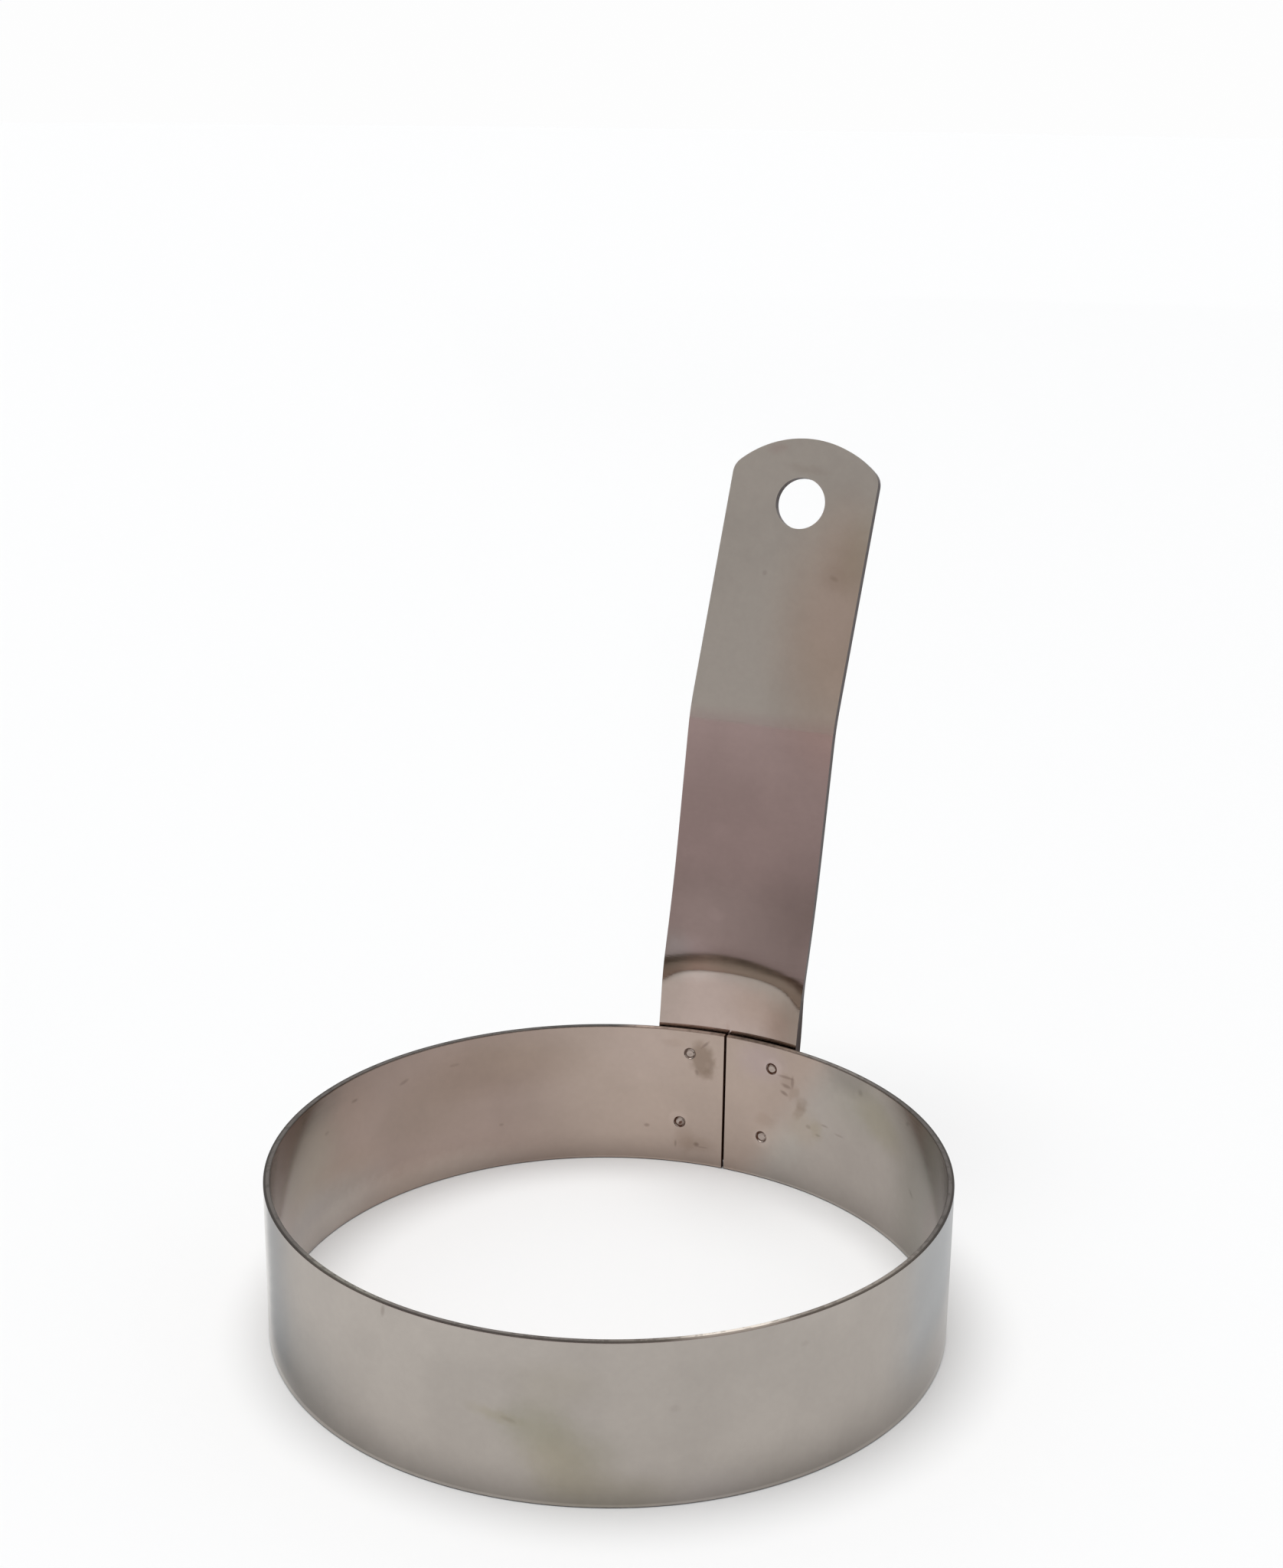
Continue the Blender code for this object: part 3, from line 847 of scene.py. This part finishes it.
HANDLE_STAINS_AND_PAINTED_LIGHT = (
    # Painted reflection: a warmer, darker patch on the upper blade
    (10.5, 71.0, 8.5, 16.5, 8, 0.75, 1.0, (1.0, 0.87, 0.80)),
    (8.5, 80.5, 2.2, 1.8, 0, 0.8, 0.25, BROWN),
    (-5.3, 100.3, 1.6, 0.8, 15, 0.7, 0.35, (0.85, 0.70, 0.70)),
    (0.4, 97.4, 3.0, 0.7, 0, 0.7, 0.3, BROWN),
    (-4.0, 21.2, 1.5, 1.0, 0, 0.6, 0.4, PALE),
    (-5.1, 35.8, 1.6, 1.2, 0, 0.7, 0.2, PALE),
    # From here on: painted light and shade, lighter and darker patches for what the bent strip mirrors,
    # among them a darker band right across it above the lower bend
    (-2.0, 3.0, 13.0, 8.0, 0, 0.3, 1.0, (1.08, 0.98, 0.98)),
    (11.5, 3.0, 4.5, 6.5, 0, 0.6, 1.0, (0.75, 0.70, 0.66)),
    (-12.0, 5.0, 4.0, 8.0, 0, 0.6, 1.0, (0.92, 0.93, 0.92)),
    (0.0, 20.0, 80.0, 8.0, 0, 0.5, 1.0, (0.87, 0.88, 0.87)),
    (16.0, 20.0, 14.0, 16.0, 0, 0.8, 1.0, (0.81, 0.81, 0.81)),
    (-8.0, 12.6, 5.0, 3.2, 0, 0.6, 1.0, (1.20, 1.22, 1.26)),
    (5.5, 6.5, 5.0, 4.0, 0, 0.8, 1.0, (0.97, 0.94, 0.90)),
    (-11.0, 13.0, 3.0, 3.5, 0, 0.7, 1.0, (0.93, 1.02, 1.02)),
    (8.0, 87.0, 3.0, 6.0, 0, 0.8, 1.0, (0.98, 0.95, 0.93)),
    (9.0, 75.0, 4.0, 5.0, 0, 0.8, 1.0, (1.06, 1.06, 1.08)),
    (12.0, 85.0, 3.0, 6.0, 0, 0.8, 1.0, (0.90, 0.89, 0.84)),
)
HANDLE_SPECKS_AND_SEAM_SHADE = (
    # Painted shade: a dark brown strip on the tab behind the band's seam, where little light gets in
    (0.4, -13.2, 0.9, 11.6, 3.3, 0.4, 1.0, (0.5, 0.3, 0.2)),
    (8.0, 80.5, 0.7, 0.35, -20, 0.6, 0.25, DARK),
    (-3.9, 79.7, 0.35, 0.4, 0, 0.6, 0.25, DARK),
)


def marked(w, tone, place, marks):
    """Lay marks over a tone, deep enough to go through any sheet."""
    for x, y, wide, high, turn, soft, strength, factors in marks:
        local = w.mapped(place, (x, y, 0), math.radians(turn), (wide, high, MARK_DEPTH))
        inside = w.ramp(w.vector_math("LENGTH", local), 1 - soft, 1 + soft, strength, 0.0)
        tone = w.mix(inside, tone, colour(*factors), "MULTIPLY")
    return tone


def plain(tone):
    """A side of the sheet that has one tone before its marks."""
    return lambda w, place: colour(*tone)


def inner_wall(w, place):
    """The band's inner wall before its marks: duller to the left of the seam, cooler to its right."""
    arc = w.axis(place, "X")
    wall = w.mix(w.ramp(arc, *LEFT_TO_MIDDLE), colour(*INNER_LEFT), colour(*INNER_MIDDLE))
    slanted = w.math("SUBTRACT", arc, w.math("MULTIPLY", w.axis(place, "Y"), RIGHT_SLANT))
    wall = w.mix(w.ramp(slanted, *MIDDLE_TO_RIGHT), wall, colour(*INNER_RIGHT))
    return w.mix(w.ramp(arc, *RIGHT_TO_LEFT), wall, colour(*INNER_LEFT))


def cut_tone(w, place, edge, painted_edge_light, seam):
    """Tone of the sheared edges: a patchy face with a sharp line along each side, and painted
    highlights and shade on the rim and painted shade at the seam.
    """
    line, face = edge
    depth = w.axis(place, "Z")
    patchy = w.ramp(w.noise(place, 1.1, 3.0, 0.6), 0.5, 0.62, 0.0, 0.5)
    cut = w.mix(patchy, colour(*face), colour(*line))
    cut = w.mix(w.ramp(depth, *OUTER_LINE), cut, colour(*line))
    cut = w.mix(w.ramp(depth, *INNER_LINE, 0.6, 0.0), cut, colour(*line))
    cut = marked(w, cut, place, painted_edge_light)
    # Painted shade on the cut faces close to the seam
    if seam:
        from_seam = w.math("ABSOLUTE", w.math("SUBTRACT", w.axis(place, "X"), SEAM_OFFSET / MM))
        cut = w.mix(w.ramp(from_seam, *SEAM_SHADE_FADE, 1.0, 0.0), cut, colour(*SEAM_SHADE))
    return cut


def sheet_steel(name, near, far, thickness, edge, painted_edge_light, roughness, seam=False):
    """Cold-rolled stainless sheet with blotches, rolling grain, marks and darker sheared edges.

    The near side faces the ring's axis; each side has a tone, stains and specks, and patches of
    painted light and shade laid on in the same way.
    """
    w = Wiring(name)
    place = w.attribute("place_mm")
    ragged = w.ragged(place, 0.75, 1.6)
    sides = []
    for tone, stains_and_painted_light, specks_and_shade in (near, far):
        sides.append(marked(w, marked(w, tone(w, place), ragged, stains_and_painted_light), place, specks_and_shade))
    tone = w.mix(w.ramp(w.axis(place, "Z"), 0.3 * thickness, 0.7 * thickness), *sides)
    position = w.add("ShaderNodeTexCoord").outputs["Object"]
    blotch = w.noise(position, BLOTCHES_PER_METRE, 3.0, 0.55)
    mottle = w.noise(position, MOTTLES_PER_METRE, 3.0, 0.6)
    tone = w.mix(1.0, tone, w.ramp(blotch, 0.35, 0.65, 0.96, 1.03), "MULTIPLY")
    tone = w.mix(1.0, tone, w.ramp(mottle, 0.2, 0.8, 0.98, 1.02), "MULTIPLY")
    sheared = w.attribute("sheared", "Fac")
    tone = w.mix(sheared, tone, cut_tone(w, place, edge, painted_edge_light, seam))
    w.put(tone, w.shader.inputs["Base Color"])
    grain = w.noise(w.mapped(place, scale=GRAIN_STRETCH), 1.0, 2.0, 0.6)
    rough = w.math("ADD", w.ramp(grain, 0.3, 0.7, roughness - 0.015, roughness + 0.015),
                   w.ramp(blotch, 0.3, 0.7, -0.01, 0.02))
    rough = w.math("ADD", rough, w.math("MULTIPLY", sheared, CUT_ROUGHNESS_ADDED))
    w.put(rough, w.shader.inputs["Roughness"])
    w.put(w.ramp(sheared, 0.0, 1.0, 1.0, DULL_METALLIC), w.shader.inputs["Metallic"])
    w.shader.inputs["Specular IOR Level"].default_value = SPECULAR
    w.put(w.bump(grain, 0.5, GRAIN_DEPTH), w.shader.inputs["Normal"])
    return w.material


def weld_steel(name):
    """Steel that was melted and pressed flat, black where it burnt in the groove."""
    w = Wiring(name)
    place = w.attribute("place_mm")
    spots = w.noise(place, 3.0, 3.0, 0.6)
    burnt = w.attribute("burnt", "Fac")
    burnt = w.math("MULTIPLY", burnt, w.ramp(spots, 0.2, 0.6, 0.75, 1.1), clamp=True)
    dull, bright = [c * 0.9 for c in WELD_TONE], [c * 1.05 for c in WELD_TONE]
    tone = w.mix(w.ramp(spots, 0.3, 0.7), colour(*dull), colour(*bright))
    w.put(w.mix(burnt, tone, colour(*BURNT_TONE)), w.shader.inputs["Base Color"])
    w.put(w.ramp(burnt, 0.0, 1.0, WELD_ROUGHNESS, BURNT_ROUGHNESS), w.shader.inputs["Roughness"])
    w.put(w.ramp(burnt, 0.0, 1.0, 1.0, DULL_METALLIC), w.shader.inputs["Metallic"])
    w.shader.inputs["Specular IOR Level"].default_value = SPECULAR
    w.put(w.bump(spots, 0.5, PIT_DEPTH), w.shader.inputs["Normal"])
    return w.material


# Stage, camera and light

def make_floor():
    """A pale sheet under the ring, which keeps its shadow."""
    bm = bmesh.new()
    bmesh.ops.create_circle(bm, cap_ends=True, radius=FLOOR_RADIUS, segments=FLOOR_SIDES)
    mesh = bpy.data.meshes.new("floor")
    bm.to_mesh(mesh)
    bm.free()
    floor = bpy.data.objects.new("floor", mesh)
    floor.location.z = -FLOOR_DROP
    bpy.context.scene.collection.objects.link(floor)
    w = Wiring("floor_paper")
    w.shader.inputs["Base Color"].default_value = colour(FLOOR_TONE, FLOOR_TONE, FLOOR_TONE)
    w.shader.inputs["Roughness"].default_value = FLOOR_ROUGHNESS
    w.shader.inputs["Specular IOR Level"].default_value = SPECULAR
    mesh.materials.append(w.material)


def camera_frame():
    """The camera's place from the ring's axis and its directions, before the turn about the axis."""
    forward = Vector((0, math.cos(CAMERA_ELEVATION), -math.sin(CAMERA_ELEVATION)))
    right = Vector((1, 0, 0))
    down = forward.cross(right)
    return right * CAMERA_SIDE + down * CAMERA_DOWN - forward * CAMERA_DISTANCE, forward, right, down


def make_camera():
    place, forward, right, down = camera_frame()
    cos_roll, sin_roll = math.cos(CAMERA_ROLL), math.sin(CAMERA_ROLL)
    x_axis = right * cos_roll - down * sin_roll
    y_axis = -(right * sin_roll + down * cos_roll)
    axes = Matrix((x_axis, y_axis, -forward)).transposed().to_4x4()
    data = bpy.data.cameras.new("camera")
    data.sensor_width = SENSOR
    data.lens = CAMERA_FOCAL_PIXELS / IMAGE_HEIGHT * SENSOR
    data.clip_start = 0.01
    camera = bpy.data.objects.new("camera", data)
    bpy.context.scene.collection.objects.link(camera)
    turn = Matrix.Rotation(CAMERA_TURN, 4, "Z")
    camera.matrix_world = Matrix.Translation(AXIS) @ turn @ Matrix.Translation(place) @ axes
    bpy.context.scene.camera = camera


def make_world():
    """Soft light from all round; the camera, metal and glass see the pale background."""
    world = bpy.data.worlds.new("studio")
    bpy.context.scene.world = world
    world.use_nodes = True
    tree = world.node_tree
    light = tree.nodes["Background"]
    light.inputs["Color"].default_value = colour(*WORLD_COLOUR)
    light.inputs["Strength"].default_value = WORLD_LIGHT
    backdrop = tree.nodes.new("ShaderNodeBackground")
    backdrop.inputs["Color"].default_value = colour(BACKDROP, BACKDROP, BACKDROP)
    path = tree.nodes.new("ShaderNodeLightPath")
    seen = None
    for ray in ("Is Camera Ray", "Is Glossy Ray", "Is Transmission Ray"):
        if seen is None:
            seen = path.outputs[ray]
            continue
        either = tree.nodes.new("ShaderNodeMath")
        either.operation = "MAXIMUM"
        tree.links.new(seen, either.inputs[0])
        tree.links.new(path.outputs[ray], either.inputs[1])
        seen = either.outputs[0]
    mix = tree.nodes.new("ShaderNodeMixShader")
    tree.links.new(seen, mix.inputs[0])
    tree.links.new(light.outputs[0], mix.inputs[1])
    tree.links.new(backdrop.outputs[0], mix.inputs[2])
    tree.links.new(mix.outputs[0], tree.nodes["World Output"].inputs["Surface"])


def make_sun():
    """A broad, soft lamp from high on one side."""
    data = bpy.data.lights.new("sun", "SUN")
    data.energy = SUN_STRENGTH
    data.angle = SUN_ANGLE
    sun = bpy.data.objects.new("sun", data)
    sun.rotation_euler = SUN_TURN
    bpy.context.scene.collection.objects.link(sun)


def make_card(name, grid, tone_at, closed):
    """A card over rows of points, its tone worked out at each point."""
    count = len(grid[0])
    faces = []
    for row in range(len(grid) - 1):
        for i in range(count if closed else count - 1):
            j = (i + 1) % count
            faces.append((row * count + i, row * count + j, (row + 1) * count + j, (row + 1) * count + i))
    points = [point for row in grid for point in row]
    mesh = bpy.data.meshes.new(name)
    mesh.from_pydata(points, [], faces)
    store_vectors(mesh, "tone", [tone_at(point) for point in points])
    w = Wiring(name + "_paint")
    w.put(w.attribute("tone"), w.shader.inputs["Base Color"])
    w.shader.inputs["Roughness"].default_value = 1.0
    w.shader.inputs["Specular IOR Level"].default_value = 0.0
    mesh.materials.append(w.material)
    card = bpy.data.objects.new(name, mesh)
    bpy.context.scene.collection.objects.link(card)
    card.visible_camera = False
    card.visible_diffuse = False
    card.visible_transmission = False
    card.visible_shadow = False


def camera_side(radius, turn, height):
    """A point round the ring's axis; turns are in degrees from the camera side."""
    angle = math.radians(turn) + CAMERA_TURN
    return AXIS + Vector((radius * math.sin(angle), -radius * math.cos(angle), height))


# Tones of the cards. Each row of the table's shade is a turn from the camera side in degrees,
# the share of the light missing at the foot of the ring and how many mm the shade reaches.
TABLE_SHADE = (
    (-180, 0.40, 5), (-90, 0.0, 6), (-80, 0.05, 8), (-68, 0.30, 8), (-52, 0.38, 8), (-34, 0.30, 5),
    (-15, 0.25, 4), (0, 0.25, 4), (34, 0.25, 4), (51, 0.15, 6), (67, 0.12, 8), (80, 0.10, 8),
    (90, 0.10, 6), (180, 0.40, 5),
)
# Each row of the side bands is the turn of the wall that mirrors the table to the camera, in
# degrees, and how red and how blue the table is there; the front of the wall mirrors none.
SIDE_BANDS = (
    (-90, 0.98, 0.98), (-84, 1.05, 1.05), (-80, 1.10, 1.10), (-76, 1.10, 1.10), (-73, 0.88, 0.90),
    (-70, 0.58, 0.62), (-66, 0.60, 0.65), (-63, 0.66, 0.70), (-59, 0.82, 0.82), (-54, 0.95, 0.94),
    (-48, 0.99, 0.99), (40, 1.0, 1.0), (48, 0.97, 0.97), (54, 0.90, 0.94), (58, 0.83, 0.94),
    (62, 0.79, 0.90), (66, 0.75, 0.84), (70, 0.70, 0.77), (75, 0.68, 0.72), (82, 0.70, 0.72),
    (90, 0.66, 0.68),
)
TABLE_NEAR = (0.90, 0.90, 0.90)
TABLE_FAR = (0.491, 0.398, 0.414)
TABLE_FARTHEST = (0.576, 0.478, 0.499)
WALL_LOW = (0.84, 0.77, 0.78)
WALL_HIGH = (0.90, 0.90, 0.89)
INSIDE = (0.86, 0.86, 0.86)
INSIDE_SHADE = ((-180, 0.15), (-150, 0.0), (-120, -0.15), (-95, -0.05), (0, 0.2), (150, 0.2), (180, 0.15))
INSIDE_REACH = 6 * MM

# The side bands come in, and the table in front turns darker and then lighter again, from these
# distances from the ring's axis on and over these lengths. The front's turn, half width and
# fade are in degrees.
BANDS_FROM = 52 * MM
BANDS_LEFT = 2 * MM
BANDS_RIGHT = 9 * MM
FAR_FROM, FAR_LENGTH = 120 * MM, 25 * MM
FARTHEST_FROM, FARTHEST_LENGTH = 230 * MM, 170 * MM
FRONT_TURN, FRONT_HALF, FRONT_FADE = -22, 75, 30

# Height of the table's cards; distance of the room's card and the height from which it is light
CARD_HEIGHT = 0.2 * MM
ROOM_DISTANCE = 1.5
ROOM_LIGHT_FROM = 0.4


def turn_of(point):
    """A point's distance from the ring's axis and its turn from the camera side in degrees."""
    offset = point - AXIS
    turn = math.degrees(math.atan2(offset.x, -offset.y) - CAMERA_TURN)
    return math.hypot(offset.x, offset.y), (turn + 180) % 360 - 180


def mirroring_turns():
    """Places round the wall, the ways in which they send a ray from the camera on, and their turns."""
    turns = np.radians(np.arange(-89, 90))
    outward = np.stack([np.sin(turns), -np.cos(turns)], 1)
    places = OUTER_RADIUS * outward
    rays = places - np.array(camera_frame()[0])[:2]
    rays /= np.linalg.norm(rays, axis=1)[:, None]
    return places, rays - 2 * (rays * outward).sum(1)[:, None] * outward, np.degrees(turns)


def mirroring_turn(radius, turn, walls):
    """The turn of the wall that mirrors a point of the table to the camera."""
    places, rays, turns = walls
    point = radius * np.array([math.sin(math.radians(turn)), -math.cos(math.radians(turn))])
    reach = point - places
    missed = np.abs(reach[:, 0] * rays[:, 1] - reach[:, 1] * rays[:, 0])
    missed[(reach * rays).sum(1) < 0] = np.inf
    return turns[np.argmin(missed)]


WALLS = mirroring_turns()


def table_tone(point):
    """The table as the metal mirrors it: shaded at the foot of the ring, darker further in front."""
    radius, turn = turn_of(point)
    turns, shades, reaches = zip(*TABLE_SHADE)
    reach = np.interp(turn, turns, reaches) * MM
    light = 1 - np.interp(turn, turns, shades) * math.exp(-(radius - OUTER_RADIUS) / reach)
    turns, reds, blues = zip(*SIDE_BANDS)
    mirrored = mirroring_turn(radius, turn, WALLS)
    red, blue = np.interp(mirrored, turns, reds), np.interp(mirrored, turns, blues)
    strength = smoothstep((radius - BANDS_FROM) / (BANDS_RIGHT if turn > 0 else BANDS_LEFT))
    front = 1 - smoothstep((abs(turn - FRONT_TURN) - FRONT_HALF) / FRONT_FADE)
    far = smoothstep((radius - FAR_FROM) / FAR_LENGTH) * front
    farthest = smoothstep((radius - FARTHEST_FROM) / FARTHEST_LENGTH) * front
    tones = []
    bands = (red, (red + blue) / 2, blue)
    for near, band, away, last in zip(TABLE_NEAR, bands, TABLE_FAR, TABLE_FARTHEST):
        tone = near * (1 + (band - 1) * strength)
        tone += (away - tone) * far
        tone += (last - tone) * farthest
        tones.append(light * tone)
    return tones


def inside_tone(point):
    """The table inside the ring, shaded at the foot of the wall."""
    radius, turn = turn_of(point)
    shade = np.interp(turn, *zip(*INSIDE_SHADE))
    light = 1 - shade * math.exp(-(INNER_RADIUS - radius) / INSIDE_REACH)
    return [light * tone for tone in INSIDE]


def wall_tone(point):
    """The room behind the camera, a little darker towards the table."""
    share = smoothstep(point.z / ROOM_LIGHT_FROM)
    return [low + (high - low) * share for low, high in zip(WALL_LOW, WALL_HIGH)]


def card_rows(radii, step):
    """Rings of points just above the table; radii in mm, steps in degrees."""
    turns = range(-180, 180, step)
    return [[camera_side(radius * MM, turn, CARD_HEIGHT) for turn in turns] for radius in radii]


def make_cards():
    """Cards that only show in the metal's reflections, as a photographer's flags do."""
    radii = [
        52.2, 52.8, 53.4, 54, 55, 56, 57.5, 59, 61, 63, 65.5, 68, 71, 75, 80, 85, 92, 100, 115, 130, 140,
        150, 165, 200, 230, 260, 290, 320, 350, 400, 500, 700, 1000, 1600,
    ]
    make_card("table_card", card_rows(radii, 2), table_tone, closed=True)
    radii = [0.5, 15, 25, 32, 37, 41, 44, 46.5, 48.5, 50.4]
    make_card("inside_card", card_rows(radii, 5), inside_tone, closed=True)
    heights = (0, 0.06, 0.12, 0.18, 0.24, 0.31, 0.38, 0.5, 0.8, 1.2, 1.7)
    turns = range(-100, 65, 8)
    wall = [[camera_side(ROOM_DISTANCE, turn, height) for turn in turns] for height in heights]
    make_card("wall_card", wall, wall_tone, closed=False)


weld_places = {name: weld_place(name) for name in WELD_NODES}
band_looks = sheet_steel(
    "band_steel_looks",
    (inner_wall, INNER_STAINS_AND_PAINTED_LIGHT, INNER_SPECKS), (plain(OUTER_TONE), OUTER_STAINS_AND_PAINTED_LIGHT, OUTER_SPECKS),
    WALL / MM, BAND_CUT, PAINTED_RIM_LIGHT_AND_SHADE, BAND_ROUGHNESS, seam=True,
)
handle_looks = sheet_steel(
    "handle_steel_looks",
    (plain(HANDLE_TONE), HANDLE_STAINS_AND_PAINTED_LIGHT, HANDLE_SPECKS_AND_SEAM_SHADE), (plain(HANDLE_TONE), (), ()),
    HANDLE_THICKNESS / MM, HANDLE_CUT, (), HANDLE_ROUGHNESS,
)
weld_looks = weld_steel("weld_steel_looks")

band = make_ring_band(weld_places.values())
dress_ring_band(band)
band.data.materials.append(band_looks)
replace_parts(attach(band, "root"), "ring_band")

handle = make_handle(weld_places.values())
dress_handle(handle)
handle.data.materials.append(handle_looks)
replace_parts(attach(handle, "root"), "handle")

for node, (arc, z) in weld_places.items():
    weld = make_weld(node + "_mark", arc, z, *WELD_LOOKS[node])
    weld.data.materials.append(weld_looks)
    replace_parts(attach(weld, "root"), node)

make_floor()
make_world()
make_sun()
make_cards()
make_camera()
scene = bpy.context.scene
scene.view_settings.view_transform = "Standard"
